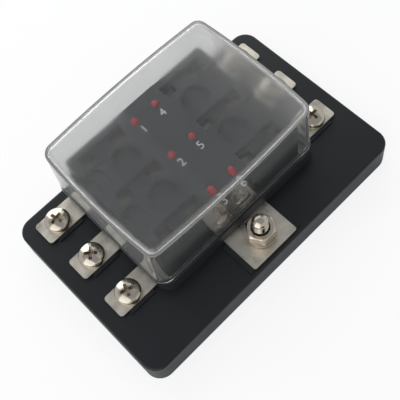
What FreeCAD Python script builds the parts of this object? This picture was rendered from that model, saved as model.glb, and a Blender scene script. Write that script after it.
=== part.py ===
import FreeCAD, Part
import math
import os

from FreeCAD import Vector

os.makedirs("parts", exist_ok=True)

# A six-way blade fuse block. All sizes in millimetres.
# X runs from the end with circuits 1 to 3 towards the end with circuits 4 to 6,
# Y runs from the supply stud towards the blank long side, Z is up.
# The origin is at the middle of the underside.

# Circuits: blade fuses side by side in two rows
circuit_pitch = 20.12
fuse_length = 19.1
fuse_thickness = 5.1
fuse_blade_spacing = 13.9
fuse_clearance = 0.2

# Load strips and supply plate, cut and folded from one gauge of plated brass sheet
sheet = 0.8
strip_width = 10.1
strip_corner_radius = 1.3
strip_past_screw = 7.8
plate_width = 21.9
plate_past_stud = 7.6
plate_corner_radius = 0.9
clip_length = 5.2
clip_half_width = 3.3
clip_shoulder_height = 9.4
clip_pinch_height = 12.6
clip_height = 14.4
clip_pinch_gap = 0.7
clip_mouth_half_width = 1.7

# Holder moulding
holder_height = 21.9
holder_corner_radius = 1.6
lamp_band_half_width = 10.2
lamp_band_step = 0.4
pocket_from_band = 0.3
pocket_depth = 3.0
pocket_floor = 2.4
pocket_end_wall = 4.0
blade_hole_length = 5.4
blade_hole_width = 4.4
front_wall = 2.82
back_wall = 3.04
finger_well_radius = 5.9
finger_well_inward = 2.75
finger_well_depth = 4.0
grip_steps = 3
grip_step_inset = 12.4
grip_step_run = 4.9
grip_step_drop = 1.2
grip_wall = 1.5
grip_corner_radius = 3.5
lamp_roof = 2.4
lamp_channel_half_width = 9.2
tunnel_height = 10.8
clip_chamber_clearance = 0.5
sheet_clearance = 0.3
window_clearance = 1.0

# The ledge round the holder and the skirt that the cover sits on
ledge_x = 5.3
ledge_front = 5.4
ledge_back = 4.1
ledge_thickness = 1.2
skirt_height = 7.1
skirt_wall = 1.8
skirt_corner_radius = 5.6
skirt_fit = 0.15

# Clear cover
cover_overhang_x = 0.65
cover_setback_front = 0.9
cover_overhang_back = 0.3
cover_height = 27.8
cover_wall = 1.6
cover_roof = 1.8
cover_draft = 0.7
cover_bow = 1.3
rim_bow = 0.02
cover_corner_radius = 5.4
cover_edge_radius = 3.2
cover_edge_sections = 6
rim_bead = 0.45
rim_bead_height = 1.1
lip_depth = 2.4
lip_thickness = 0.9
lip_clearance = 0.15
seat_clearance = 0.05
grip_rib_length = 10.2
grip_rib_height = 2.7
grip_rib_above_rim = 7.4
grip_rib_proud = 0.85

# Base moulding, with margins measured from the pieces that stand on it
screw_from_skirt = 9.3
end_margin = 6.05
stud_from_skirt = 8.4
front_margin = 9.2
back_margin = 0.3
base_height = 12.3
base_corner_radius = 6.1
base_edge_radius = 0.8
base_wall = 2.6
base_skin = 2.6
rib_thickness = 1.4
cell_count_x = 10
cell_count_y = 6
pad_height = 0.7
pad_margin = 1.4
pad_reach_in = 7.3
pad_reach_out = 4.4
stud_pad_margin = 2.1
stud_pad_length = 14.6

# M5 terminal screws and their captive nuts
screw_radius = 2.45
screw_length = 10.0
screw_head_radius = 5.0
screw_head_height = 3.7
screw_head_dome = 1.5
screw_head_edge_radius = 1.3
recess_width = 1.25
recess_radius = 2.7
recess_depth = 2.3
recess_lead = 0.1
recess_floor = 0.3
recess_turns = [12.0, 48.0, 71.0, 30.0, 62.0, 5.0]
nut_across_flats = 8.0
nut_height = 4.0
nut_seat_drop = 0.3
running_clearance = 0.05
hole_clearance = 0.25
pocket_clearance = 0.1
boss_wall = 1.8

# M6 supply stud, nut and washers
stud_radius = 3.0
stud_top_above_nut = 7.0
stud_dome = 0.9
stud_head_across_flats = 10.0
stud_head_height = 4.0
stud_seat_thickness = 4.8
stud_nut_across_flats = 10.0
stud_nut_height = 5.0
nut_chamfer_angle = 30.0
nut_chamfer_start = 0.97
nut_chamfer_margin = 0.2
flat_washer_radius = 6.0
flat_washer_thickness = 1.6
spring_washer_radius = 5.7
spring_washer_thickness = 1.6
spring_washer_slit = 1.2
spring_washer_slit_angle = 25.0
spring_washer_slit_turn = -60.0

# Two pan head screws that fix the supply plate
plate_screw_x = 5.6
plate_screw_inset = 3.9
plate_screw_radius = 1.9
plate_screw_length = 9.5
plate_screw_head_radius = 3.9
plate_screw_head_height = 2.8
plate_screw_head_dome = 1.1
plate_screw_head_edge_radius = 1.0
plate_recess_width = 1.0
plate_recess_radius = 2.0
plate_recess_depth = 1.6
plate_recess_turn = 15.0

# Four screws that hold the holder down from below
holder_screw_radius = 1.4
holder_screw_length = 12.0
holder_screw_head_radius = 2.8
holder_screw_head_height = 2.2
holder_screw_head_recess = 4.3
holder_screw_spare = 0.5
holder_recess_width = 0.8
holder_recess_radius = 1.6
holder_recess_depth = 1.2
holder_recess_turn = 45.0

# Lamps and their board
lamp_x = 5.1
lamp_offset_y = -1.1
lamp_radius = 1.5
lamp_flange_radius = 1.9
lamp_flange_height = 1.0
lamp_length = 5.3
lamp_proud = 1.5
lamp_leg_radius = 0.25
lamp_leg_spacing = 2.54
lamp_leg_root = 0.4
lamp_leg_end = 0.8
lamp_leg_clearance = 0.1
board_half_width = 8.9
board_thickness = 1.6
board_margin = 1.2
board_drop = 2.8
peg_radius = 1.0
peg_shoulder_radius = 1.8
peg_x = 7.0
peg_end = 0.5
resistor_length = 6.3
resistor_radius = 1.15
resistor_spacing = 3.4
resistor_collar = 0.22
resistor_taper = 1.3
resistor_waist = 0.82

# Places along X, from the middle outwards
pocket_middle_x = lamp_band_half_width + pocket_from_band + fuse_clearance + fuse_length / 2
holder_half_length = pocket_middle_x + fuse_length / 2 + fuse_clearance + pocket_end_wall
skirt_half_length = holder_half_length + ledge_x
cover_half_length = skirt_half_length + cover_overhang_x
screw_x = skirt_half_length + screw_from_skirt
strip_reach = screw_x + strip_past_screw
base_length = 2 * (strip_reach + end_margin)
blade_in_x = pocket_middle_x - fuse_blade_spacing / 2
blade_out_x = pocket_middle_x + fuse_blade_spacing / 2
finger_well_x = pocket_middle_x - finger_well_inward
grip_step_x = holder_half_length - grip_step_inset

# Places along Y, from the supply stud's side to the back
fuse_half = fuse_thickness / 2 + fuse_clearance
holder_width = front_wall + fuse_half + 2 * circuit_pitch + fuse_half + back_wall
skirt_width = ledge_front + holder_width + ledge_back
base_width = front_margin + stud_from_skirt + skirt_width + back_margin
stud_y = -base_width / 2 + front_margin
skirt_low_y = stud_y + stud_from_skirt
skirt_high_y = skirt_low_y + skirt_width
holder_low_y = skirt_low_y + ledge_front
holder_high_y = skirt_high_y - ledge_back
cover_low_y = skirt_low_y + cover_setback_front
cover_high_y = skirt_high_y + cover_overhang_back
circuit_middle_y = holder_low_y + front_wall + fuse_half + circuit_pitch
plate_screw_y = holder_low_y + plate_screw_inset
plate_reach = plate_past_stud - stud_y

# Levels and lists worked out from the sizes above
sheet_low = base_height + pad_height
sheet_top = sheet_low + sheet
holder_top = base_height + holder_height
skirt_top = base_height + skirt_height
cover_rim = skirt_top + seat_clearance
cover_top = cover_rim + cover_height
ledge_top = sheet_low + ledge_thickness
pocket_bottom = holder_top - pocket_depth
clip_ceiling = pocket_bottom - pocket_floor
tunnel_ceiling = sheet_low + tunnel_height
roof_underside = holder_top - lamp_roof
board_top = roof_underside - board_drop
board_low = board_top - board_thickness
cavity_height = base_height - base_skin
circuit_rows = [circuit_middle_y + circuit_pitch, circuit_middle_y, circuit_middle_y - circuit_pitch]
circuits = [(-1, y) for y in circuit_rows] + [(1, y) for y in circuit_rows]
well_rows = [(circuit_rows[0] + circuit_rows[1]) / 2, (circuit_rows[1] + circuit_rows[2]) / 2]
wells = [(side * finger_well_x, y) for side in (-1, 1) for y in well_rows]
clip_outer_half_width = clip_half_width + sheet
clip_root_half_width = clip_half_width - plate_corner_radius
plate_half_width = plate_width / 2
tunnel_half_width = plate_half_width + sheet_clearance
nut_seat = cavity_height - nut_seat_drop
stud_seat = sheet_low - stud_seat_thickness
stud_nut_low = sheet_top + flat_washer_thickness + spring_washer_thickness
through = 1.0
tolerance = 1e-4


def block(x_low, x_high, y_low, y_high, z_low, z_high):
    """A plain block between two corners, whichever way round they are given."""
    x_low, x_high = min(x_low, x_high), max(x_low, x_high)
    size = (x_high - x_low, y_high - y_low, z_high - z_low)
    return Part.makeBox(*size, Vector(x_low, y_low, z_low))


def rounded_block(x_low, x_high, y_low, y_high, z_low, z_high, radius):
    """A block with its four upright edges rounded."""
    solid = block(x_low, x_high, y_low, y_high, z_low, z_high)
    return solid.makeFillet(radius, upright_edges(solid))


def upright_edges(solid):
    """The straight edges of a solid that run along Z."""
    found = []
    for edge in solid.Edges:
        start, end = edge.Vertexes[0].Point, edge.Vertexes[-1].Point
        if abs(start.x - end.x) < tolerance and abs(start.y - end.y) < tolerance:
            found.append(edge)
    return found


def level_edges(solid, z):
    """The edges of a solid that lie wholly at the height z."""
    edges = [e for e in solid.Edges if abs(e.BoundBox.ZMin - z) < tolerance]
    return [e for e in edges if abs(e.BoundBox.ZMax - z) < tolerance]


def rod(x, y, z_low, z_high, radius):
    """An upright cylinder."""
    return Part.makeCylinder(radius, z_high - z_low, Vector(x, y, z_low))


def hexagon(x, y, z_low, z_high, across_flats):
    """An upright hexagonal prism with two of its flats facing along Y."""
    radius = across_flats / math.sqrt(3)
    corners = [math.radians(60 * i) for i in range(7)]
    points = [Vector(x + radius * math.cos(a), y + radius * math.sin(a), z_low) for a in corners]
    return Part.Face(Part.makePolygon(points)).extrude(Vector(0, 0, z_high - z_low))


def turned(profile, x=0.0, y=0.0):
    """A solid of revolution about an upright axis, from (radius, z) points."""
    points = [Vector(r, 0, z) for r, z in profile]
    solid = Part.Face(Part.makePolygon(points + points[:1])).revolve(Vector(), Vector(0, 0, 1), 360)
    solid.translate(Vector(x, y, 0))
    return solid


def domed_rod(x, y, z_low, z_high, radius, dome):
    """An upright rod whose top end is a ball cap of the given height."""
    ball = (radius ** 2 + dome ** 2) / (2 * dome)
    angle = math.asin(radius / ball) / 2
    middle = Vector(ball * math.sin(angle), 0, z_high - ball + ball * math.cos(angle))
    foot, corner = Vector(0, 0, z_low), Vector(radius, 0, z_low)
    edge, tip = Vector(radius, 0, z_high - dome), Vector(0, 0, z_high)
    sides = [Part.LineSegment(a, b).toShape() for a, b in ((foot, corner), (corner, edge), (tip, foot))]
    outline = Part.Wire(sides[:2] + [Part.Arc(edge, middle, tip).toShape(), sides[2]])
    solid = Part.Face(outline).revolve(Vector(), Vector(0, 0, 1), 360)
    solid.translate(Vector(x, y, 0))
    return solid


def thick_line(path, thickness):
    """The closed outline of a sheet folded along a path, with the sheet on the path's right."""
    outer = []
    for i, (a, b) in enumerate(path):
        normals = []
        for j in (i - 1, i):
            if 0 <= j < len(path) - 1:
                run = (path[j + 1][0] - path[j][0], path[j + 1][1] - path[j][1])
                length = math.hypot(*run)
                normals.append((run[1] / length, -run[0] / length))
        mean = (sum(n[0] for n in normals) / len(normals), sum(n[1] for n in normals) / len(normals))
        square = mean[0] ** 2 + mean[1] ** 2
        outer.append((a + mean[0] / square * thickness, b + mean[1] / square * thickness))
    return path + outer[::-1]


def joined(solids):
    """One solid from several that meet."""
    return solids[0].fuse(solids[1:]).removeSplitter()


def mirrored(solid, side):
    """The solid itself for side +1, and its mirror image across X for side -1."""
    return solid if side > 0 else solid.mirror(Vector(), Vector(1, 0, 0))


def save(name, shape):
    """Writes one sub-part, whose file is named for its node."""
    shape.exportStep("parts/" + name + ".step")


def make_base_plate():
    """The base: a ribbed tray moulding with raised pads under the metal and bosses beneath."""
    half_x, half_y = base_length / 2, base_width / 2
    body = rounded_block(-half_x, half_x, -half_y, half_y, 0, base_height, base_corner_radius)
    body = body.makeFillet(base_edge_radius, level_edges(body, base_height))
    added = [base_plateau(), stud_pad()] + [terminal_pad(side, y) for side, y in circuits]
    body = body.fuse(added).cut(rib_cells())
    return body.fuse(base_bosses()).cut(base_holes()).removeSplitter()


def base_plateau():
    """The raised step that the holder sits on and is located by."""
    inset = skirt_wall + skirt_fit
    return rounded_block(-skirt_half_length + inset, skirt_half_length - inset, skirt_low_y + inset,
                         skirt_high_y - inset, base_height, sheet_low, skirt_corner_radius - inset)


def terminal_pad(side, y):
    """The raised pad under a load strip's outer end."""
    half = strip_width / 2 + pad_margin
    return block(side * (screw_x - pad_reach_in), side * (screw_x + pad_reach_out), y - half, y + half,
                 base_height, sheet_low)


def stud_pad():
    """The raised pad under the supply plate's outer end."""
    half = plate_half_width + stud_pad_margin
    y_low = stud_y - stud_pad_length / 2
    return block(-half, half, y_low, y_low + stud_pad_length, base_height, sheet_low)


def rib_cells():
    """The moulding's cored cells, open below, with ribs between them."""
    span_x, span_y = base_length - 2 * base_wall, base_width - 2 * base_wall
    step_x = (span_x + rib_thickness) / cell_count_x
    step_y = (span_y + rib_thickness) / cell_count_y
    cells = []
    for i in range(cell_count_x):
        x = -span_x / 2 + i * step_x
        for j in range(cell_count_y):
            y = -span_y / 2 + j * step_y
            if i in (0, cell_count_x - 1) and j in (0, cell_count_y - 1):
                continue
            cells.append(block(x, x + step_x - rib_thickness, y, y + step_y - rib_thickness,
                               -through, cavity_height))
    return cells


def base_bosses():
    """The solid bosses round every fastener that comes through the base."""
    nut_boss = nut_across_flats / math.sqrt(3) + pocket_clearance + boss_wall
    stud_boss = stud_head_across_flats / math.sqrt(3) + pocket_clearance + boss_wall
    bosses = [rod(side * screw_x, y, 0, cavity_height, nut_boss) for side, y in circuits]
    bosses.append(rod(0, stud_y, 0, cavity_height, stud_boss))
    for x, y in wells:
        bosses.append(rod(x, y, 0, cavity_height, holder_screw_head_radius + hole_clearance + boss_wall))
    for side in (-1, 1):
        bosses.append(rod(side * plate_screw_x, plate_screw_y, 0, cavity_height,
                          plate_screw_radius + boss_wall))
    return bosses


def base_holes():
    """The holes and hexagonal pockets for the screws, nuts and stud."""
    holes = []
    for side, y in circuits:
        holes.append(rod(side * screw_x, y, -through, sheet_top, screw_radius + hole_clearance))
        pocket = nut_across_flats + 2 * pocket_clearance
        holes.append(hexagon(side * screw_x, y, -through, nut_seat, pocket))
    holes.append(rod(0, stud_y, -through, sheet_top, stud_radius + hole_clearance))
    holes.append(hexagon(0, stud_y, -through, stud_seat, stud_head_across_flats + 2 * pocket_clearance))
    for x, y in wells:
        holes.append(rod(x, y, -through, sheet_top, holder_screw_radius + hole_clearance))
        holes.append(rod(x, y, -through, holder_screw_head_recess + holder_screw_head_height,
                         holder_screw_head_radius + hole_clearance))
    for side in (-1, 1):
        holes.append(rod(side * plate_screw_x, plate_screw_y, sheet_top - plate_screw_length - through,
                         sheet_top, plate_screw_radius))
    return holes


def make_fuse_holder():
    """The holder: a pocketed block, a thin ledge round it and the skirt that carries the cover."""
    tower = rounded_block(-holder_half_length, holder_half_length, holder_low_y, holder_high_y,
                          sheet_low, holder_top, holder_corner_radius)
    body = joined([skirt_and_ledge(), tower])
    for cutter in (band_steps(), fuse_pockets(), finger_wells(), metal_channels(), lamp_tunnel()):
        body = body.cut(cutter)
    return body.fuse(lamp_pegs()).cut(lamp_holes()).removeSplitter()


def skirt_outline(inset, z_low, z_high):
    """A rounded block as large as the skirt, drawn in by an inset."""
    return rounded_block(-skirt_half_length + inset, skirt_half_length - inset, skirt_low_y + inset,
                         skirt_high_y - inset, z_low, z_high, skirt_corner_radius - inset)


def skirt_and_ledge():
    """The upstanding skirt and the ledge that joins it to the block."""
    ring = skirt_outline(0, base_height, skirt_top)
    ring = ring.cut(skirt_outline(skirt_wall, base_height - through, skirt_top + through))
    ledge = skirt_outline(skirt_wall, sheet_low, ledge_top)
    return joined([ring, ledge])


def band_steps():
    """The slight drop from the band that carries the lamps down to the two rows of fuses."""
    return [block(side * lamp_band_half_width, side * (holder_half_length + through),
                  holder_low_y - through, holder_high_y + through,
                  holder_top - lamp_band_step, holder_top + through) for side in (-1, 1)]


def fuse_pockets():
    """Six pockets that take the fuses' bodies, with a hole for each blade and a chamber for each clip."""
    half_x = fuse_length / 2 + fuse_clearance
    half_y = fuse_thickness / 2 + fuse_clearance
    chamber_half_x = clip_length / 2 + clip_chamber_clearance
    chamber_half_y = clip_outer_half_width + clip_chamber_clearance
    cutters = []
    for side, y in circuits:
        x = side * pocket_middle_x
        cutters.append(block(x - half_x, x + half_x, y - half_y, y + half_y,
                             pocket_bottom, holder_top + through))
        for blade_x in (side * blade_in_x, side * blade_out_x):
            cutters.append(block(blade_x - blade_hole_length / 2, blade_x + blade_hole_length / 2,
                                 y - blade_hole_width / 2, y + blade_hole_width / 2,
                                 sheet_low, pocket_bottom))
            cutters.append(block(blade_x - chamber_half_x, blade_x + chamber_half_x,
                                 y - chamber_half_y, y + chamber_half_y, sheet_low - through, clip_ceiling))
    return cutters


def finger_wells():
    """Round wells between the fuses for the fingertips, with round-cornered grip steps outside them."""
    cutters = []
    half = circuit_pitch / 2 - fuse_half - grip_wall
    for x, y in wells:
        cutters.append(rod(x, y, holder_top - finger_well_depth, holder_top + through, finger_well_radius))
        side = 1 if x > 0 else -1
        for i in range(grip_steps):
            start = grip_step_x + i * grip_step_run
            cutters.append(rounded_block(side * start, side * (holder_half_length + 2 * grip_corner_radius),
                                         y - half, y + half, holder_top - (i + 1) * grip_step_drop,
                                         holder_top + through, grip_corner_radius))
    return cutters


def metal_channels():
    """Room under the holder and through the skirt's foot for the strips and the supply plate."""
    channel_top = sheet_top + sheet_clearance
    window_top = sheet_top + window_clearance
    half = strip_width / 2 + sheet_clearance
    root_half = clip_root_half_width + sheet_clearance
    inner = blade_out_x - clip_length / 2 - clip_chamber_clearance
    cutters = []
    for side, y in circuits:
        cutters.append(block(side * inner, side * holder_half_length, y - half, y + half,
                             base_height - through, channel_top))
        cutters.append(block(0, side * blade_in_x, y - root_half, y + root_half,
                             sheet_low - through, channel_top))
        cutters.append(block(side * holder_half_length, side * (skirt_half_length + through),
                             y - half, y + half, base_height - through, window_top))
        cutters.append(block(side * holder_half_length, side * (skirt_half_length - skirt_wall),
                             y - half, y + half, base_height - through, ledge_top + through))
    cutters.append(block(-tunnel_half_width, tunnel_half_width, skirt_low_y - through, holder_low_y + through,
                         base_height - through, channel_top))
    cutters.append(block(-tunnel_half_width, tunnel_half_width, skirt_low_y + skirt_wall, holder_low_y,
                         base_height - through, ledge_top + through))
    return cutters


def lamp_tunnel():
    """The tunnel along the middle for the supply plate below and the lamp board above."""
    back = circuit_rows[0] + clip_outer_half_width
    lower = block(-tunnel_half_width, tunnel_half_width, holder_low_y - through, back,
                  sheet_low - through, tunnel_ceiling)
    upper = block(-lamp_channel_half_width, lamp_channel_half_width, holder_low_y - through, back,
                  tunnel_ceiling - through, roof_underside)
    return [lower, upper]


def peg_places():
    """Where the four pegs that carry the lamp board stand."""
    return [(side * peg_x, y) for side in (-1, 1) for y in well_rows]


def lamp_pegs():
    """Shouldered pegs on the underside of the roof."""
    pegs = []
    for x, y in peg_places():
        pegs.append(rod(x, y, board_top, roof_underside, peg_shoulder_radius))
        pegs.append(rod(x, y, board_low - peg_end, board_top, peg_radius))
    return pegs


def lamp_places():
    """Where the six lamps stand, one beside each fuse."""
    return [(side * lamp_x, y + lamp_offset_y) for side, y in circuits]


def lamp_holes():
    """The lamps' holes in the roof."""
    hole = lamp_radius + running_clearance
    return [rod(x, y, roof_underside, holder_top + through, hole) for x, y in lamp_places()]


def bowed_outline(inset, bow, shrink, z):
    """The cover's plan at one height: sides that bow outward and tangent corner arcs, all drawn in."""
    half_x = cover_half_length - rim_bead - inset
    half_y = (cover_high_y - cover_low_y) / 2 - rim_bead - inset
    middle = (cover_high_y + cover_low_y) / 2
    corner = cover_corner_radius - rim_bead - inset
    end_radius = (half_y ** 2 + bow ** 2) / (2 * bow)
    long_radius = (half_x ** 2 + bow ** 2) / (2 * bow)
    back_x = end_radius - half_x - bow
    back_y = long_radius - half_y - bow
    span = math.hypot(back_x, back_y)
    near, far = end_radius - corner, long_radius - corner
    along = (near ** 2 - far ** 2 + span ** 2) / (2 * span)
    off = math.sqrt(near ** 2 - along ** 2)
    x = -back_x + (back_x * along + back_y * off) / span
    y = (-back_y * along + back_x * off) / span
    low = math.atan2(y, x + back_x)
    high = math.atan2(y + back_y, x)
    turn = math.pi
    arcs = [(-back_x, 0, end_radius, -low, low), (x, y, corner, low, high),
            (0, -back_y, long_radius, high, turn - high), (-x, y, corner, turn - high, turn - low),
            (back_x, 0, end_radius, turn - low, turn + low), (-x, -y, corner, turn + low, turn + high),
            (0, back_y, long_radius, turn + high, 2 * turn - high),
            (x, -y, corner, 2 * turn - high, 2 * turn - low)]
    edges = []
    for x, y, radius, start, end in arcs:
        reach = radius - shrink
        points = [Vector(x + reach * math.cos(a), middle + y + reach * math.sin(a), z)
                  for a in (start, (start + end) / 2, end)]
        edges.append(Part.Arc(*points).toShape())
    return Part.Wire(edges)


def cover_form(inset, z_low, z_high, edge_radius):
    """A solid of the cover's outer form, drawn in by an inset: a leaning wall and a rounded top."""
    low = bowed_outline(inset, rim_bow, 0, z_low)
    sections = []
    for i in range(cover_edge_sections + 1):
        angle = math.pi / 2 * i / cover_edge_sections
        shrink = edge_radius * (1 - math.cos(angle))
        z = z_high - edge_radius * (1 - math.sin(angle))
        sections.append(bowed_outline(inset + cover_draft, cover_bow, shrink, z))
    wall = Part.makeLoft([low, sections[0]], True, True)
    top = Part.makeLoft(sections, True, False)
    return wall.fuse(top)


def make_cover():
    """The clear cover: a drafted shell with a bead at its rim, a lip inside and a grip rib."""
    shell = cover_form(0, cover_rim, cover_top, cover_edge_radius)
    inner_radius = cover_edge_radius - cover_wall
    cavity = cover_form(cover_wall, cover_rim - through, cover_top - cover_roof, inner_radius)
    rim = rounded_block(-cover_half_length, cover_half_length, cover_low_y, cover_high_y,
                        cover_rim, cover_rim + rim_bead_height, cover_corner_radius)
    lip_out = skirt_wall + lip_clearance
    lip = skirt_outline(lip_out, skirt_top - lip_depth, cover_rim)
    inside = skirt_outline(lip_out + lip_thickness, skirt_top - lip_depth - through,
                           cover_rim + rim_bead_height + through)
    return joined([shell.cut(cavity), rim.cut(inside), lip.cut(inside), grip_rib()])


def grip_rib():
    """The low rib over the stud that the cover is pulled by."""
    face_y = cover_low_y + rim_bead
    low = cover_rim + grip_rib_above_rim - grip_rib_height / 2
    return block(-grip_rib_length / 2, grip_rib_length / 2, face_y - grip_rib_proud, face_y + cover_wall / 2,
                 low, low + grip_rib_height)


def clip_section(y):
    """The end view of a spring clip: two leaves folded up that pinch a blade and then flare."""
    right = [(clip_half_width, sheet_top), (clip_half_width, sheet_top + clip_shoulder_height),
             (clip_pinch_gap / 2, sheet_top + clip_pinch_height),
             (clip_mouth_half_width, sheet_top + clip_height)]
    path = [(-a, b) for a, b in right[::-1]] + right
    outline = [Vector(0, y + a, b) for a, b in thick_line(path, sheet)]
    return Part.Face(Part.makePolygon(outline + outline[:1]))


def clip(x, y):
    """One spring clip, middled on a fuse blade."""
    section = clip_section(y)
    section.translate(Vector(x - clip_length / 2, 0, 0))
    return section.extrude(Vector(clip_length, 0, 0))


def make_terminal_strip(side, y):
    """A load strip: a flat terminal outside the skirt and a spring clip at its inner end."""
    half = strip_width / 2
    flat_end = blade_out_x + clip_length / 2
    flat = block(flat_end, strip_reach, y - half, y + half, sheet_low, sheet_top)
    tips = [e for e in upright_edges(flat) if e.BoundBox.XMin > flat_end + through]
    flat = flat.makeFillet(strip_corner_radius, tips)
    strip = joined([flat, clip(blade_out_x, y)])
    hole = rod(screw_x, y, sheet_low - through, sheet_top + through, screw_radius + hole_clearance)
    return mirrored(strip.cut(hole), side)


def make_supply_plate():
    """The supply plate: a flat bus under the lamps with six spring clips on roots along its sides."""
    back = circuit_rows[0] + clip_half_width
    plate = block(-plate_half_width, plate_half_width, -plate_reach, back, sheet_low, sheet_top)
    plate = plate.makeFillet(plate_corner_radius, upright_edges(plate))
    pieces = [plate]
    for side, y in circuits:
        pieces.append(block(0, side * blade_in_x, y - clip_root_half_width, y + clip_root_half_width,
                            sheet_low, sheet_top))
        pieces.append(mirrored(clip(blade_in_x, y), side))
    plate = joined(pieces)
    holes = [rod(0, stud_y, sheet_low - through, sheet_top + through, stud_radius + hole_clearance)]
    for side in (-1, 1):
        holes.append(rod(side * plate_screw_x, plate_screw_y, sheet_low - through, sheet_top + through,
                         plate_screw_radius + hole_clearance))
    return plate.cut(holes)


def pan_head(x, y, seat, radius, height, dome, edge_radius):
    """A pan head: a slightly domed disc with a rounded shoulder."""
    head = domed_rod(x, y, seat, seat + height, radius, dome)
    return head.makeFillet(edge_radius, level_edges(head, seat + height - dome))


def cross_recess(x, y, top, width, radius, depth, turn):
    """The tapered cross in a screw's head, as the form to cut away."""
    lead, floor = top - depth * recess_lead, top - depth
    profile = [(-radius, top + through), (-radius, lead), (-radius * recess_floor, floor),
               (radius * recess_floor, floor), (radius, lead), (radius, top + through)]
    points = [Vector(a, -width / 2, b) for a, b in profile]
    cutters = []
    for angle in (turn, turn + 90):
        wing = Part.Face(Part.makePolygon(points + points[:1])).extrude(Vector(0, width, 0))
        wing.rotate(Vector(), Vector(0, 0, 1), angle)
        wing.translate(Vector(x, y, 0))
        cutters.append(wing)
    return cutters


def make_terminal_screw(side, y, turn):
    """An M5 cross recess pan head screw."""
    x = side * screw_x
    seat = sheet_top + seat_clearance
    head = pan_head(x, y, seat, screw_head_radius, screw_head_height, screw_head_dome,
                    screw_head_edge_radius)
    shank = rod(x, y, sheet_top - screw_length, seat, screw_radius)
    recess = cross_recess(x, y, seat + screw_head_height, recess_width, recess_radius, recess_depth, turn)
    return joined([head, shank]).cut(recess)


def make_terminal_nut(side, y):
    """An M5 hexagon nut, pressed into its pocket from below."""
    x = side * screw_x
    low = nut_seat - nut_height
    nut = hexagon(x, y, low, nut_seat, nut_across_flats)
    return nut.cut(rod(x, y, low - through, nut_seat + through, screw_radius + running_clearance))


def make_supply_stud():
    """The M6 stud: a hexagon head bolt pushed up through the base, with a rounded end."""
    top = stud_nut_low + stud_nut_height + stud_top_above_nut
    head = hexagon(0, stud_y, stud_seat - stud_head_height, stud_seat, stud_head_across_flats)
    return joined([head, domed_rod(0, stud_y, stud_seat - through, top, stud_radius, stud_dome)])


def make_stud_nut():
    """The M6 nut, with its corners chamfered at both ends."""
    low = stud_nut_low + seat_clearance
    high = low + stud_nut_height
    corner = stud_nut_across_flats / math.sqrt(3) + nut_chamfer_margin
    flat = stud_nut_across_flats / 2 * nut_chamfer_start
    rise = (corner - flat) * math.tan(math.radians(nut_chamfer_angle))
    envelope = turned([(0, low), (flat, low), (corner, low + rise), (corner, high - rise),
                       (flat, high), (0, high)], 0, stud_y)
    nut = hexagon(0, stud_y, low, high, stud_nut_across_flats).common(envelope)
    return nut.cut(rod(0, stud_y, low - through, high + through, stud_radius + running_clearance))


def make_flat_washer():
    """The M6 flat washer on the supply plate."""
    ring = rod(0, stud_y, sheet_top, sheet_top + flat_washer_thickness, flat_washer_radius)
    return ring.cut(rod(0, stud_y, sheet_top - through, stud_nut_low, stud_radius + hole_clearance))


def make_spring_washer():
    """The M6 spring washer, split by a slanting slit."""
    low = sheet_top + flat_washer_thickness
    high = low + spring_washer_thickness
    ring = rod(0, stud_y, low, high, spring_washer_radius)
    ring = ring.cut(rod(0, stud_y, low - through, high + through, stud_radius + hole_clearance))
    slit = block(0, spring_washer_radius + through, -spring_washer_slit / 2, spring_washer_slit / 2,
                 -spring_washer_thickness, 2 * spring_washer_thickness)
    slit.rotate(Vector(0, 0, spring_washer_thickness / 2), Vector(1, 0, 0), spring_washer_slit_angle)
    slit.rotate(Vector(), Vector(0, 0, 1), spring_washer_slit_turn)
    slit.translate(Vector(0, stud_y, low))
    return ring.cut(slit)


def make_plate_screw(side):
    """One of the two screws that fix the supply plate inside the cover."""
    x = side * plate_screw_x
    head = pan_head(x, plate_screw_y, sheet_top, plate_screw_head_radius, plate_screw_head_height,
                    plate_screw_head_dome, plate_screw_head_edge_radius)
    shank = rod(x, plate_screw_y, sheet_top - plate_screw_length, sheet_top,
                plate_screw_radius - running_clearance)
    recess = cross_recess(x, plate_screw_y, sheet_top + plate_screw_head_height, plate_recess_width,
                          plate_recess_radius, plate_recess_depth, side * plate_recess_turn)
    return joined([head, shank]).cut(recess)


def make_holder_screw(x, y):
    """One of the four screws that hold the holder down, put in from below."""
    low = holder_screw_head_recess
    seat = low + holder_screw_head_height
    head = rod(x, y, low, seat, holder_screw_head_radius)
    shank = rod(x, y, seat, seat + holder_screw_length, holder_screw_radius)
    recess = cross_recess(x, y, 0, holder_recess_width, holder_recess_radius, holder_recess_depth,
                          holder_recess_turn)
    for wing in recess:
        wing.rotate(Vector(x, y, 0), Vector(1, 0, 0), 180)
        wing.translate(Vector(0, 0, low))
    return joined([head, shank]).cut(recess)


def holder_screw_pilots():
    """The blind holes in the holder that those screws cut their thread in."""
    top = holder_screw_head_recess + holder_screw_head_height + holder_screw_length + holder_screw_spare
    return [rod(x, y, sheet_low - through, top, holder_screw_radius) for x, y in wells]


def lamp_leg_places(x, y):
    """Where a lamp's two legs stand."""
    return [(x, y + side * lamp_leg_spacing / 2) for side in (-1, 1)]


def make_lamp(x, y):
    """A 3 mm indicator lamp: flanged body, domed end and two wire legs."""
    top = holder_top + lamp_proud
    low = top - lamp_length
    pieces = [domed_rod(x, y, low, top, lamp_radius, lamp_radius)]
    pieces.append(rod(x, y, low, low + lamp_flange_height, lamp_flange_radius))
    for leg_x, leg_y in lamp_leg_places(x, y):
        pieces.append(rod(leg_x, leg_y, board_low - lamp_leg_end, low + lamp_leg_root, lamp_leg_radius))
    return joined(pieces)


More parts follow.
